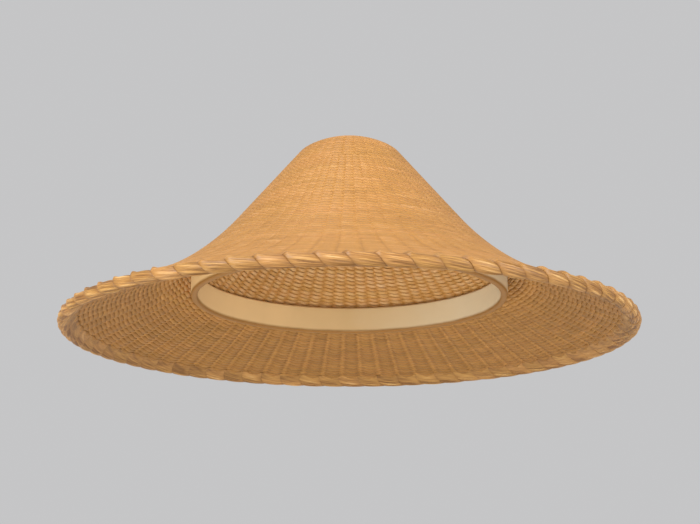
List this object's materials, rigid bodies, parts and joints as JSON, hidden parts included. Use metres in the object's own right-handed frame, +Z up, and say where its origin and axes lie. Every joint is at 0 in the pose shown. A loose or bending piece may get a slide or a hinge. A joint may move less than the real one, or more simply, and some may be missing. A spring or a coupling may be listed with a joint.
{
  "type": "conical hat",
  "caption": "Wide conical hat twined from split cane, with a rolled rope border and a smooth headband ring inside.",
  "frame": {"origin": "on the hat's axis, in the plane that the underside of the rope border rests on", "axes": "+Z up along the hat's axis, from the brim to the apex"},
  "size_m": [0.376, 0.376, 0.1383],
  "materials": {
    "weft": "satin",
    "stakes": "satin",
    "rope": "satin",
    "headband": "satin",
    "thread": "matte"
  },
  "bodies": {
    "root": {"crown_cap_outer_weft": "weft", "crown_cap_inner_weft": "weft", "crown_upper_outer_weft": "weft", "crown_upper_inner_weft": "weft", "crown_lower_outer_weft": "weft", "crown_lower_inner_weft": "weft", "flare_outer_weft": "weft", "flare_inner_weft": "weft", "brim_inner_outer_weft": "weft", "brim_inner_inner_weft": "weft", "brim_outer_outer_weft": "weft", "brim_outer_inner_weft": "weft", "apex_knot": "weft", "main_stakes": "stakes", "added_stakes": "stakes", "rope_hoop": "stakes", "main_stake_wraps": "rope", "added_stake_wraps": "rope", "headband": "headband", "headband_stitches": "thread"}
  },
  "joints": []
}
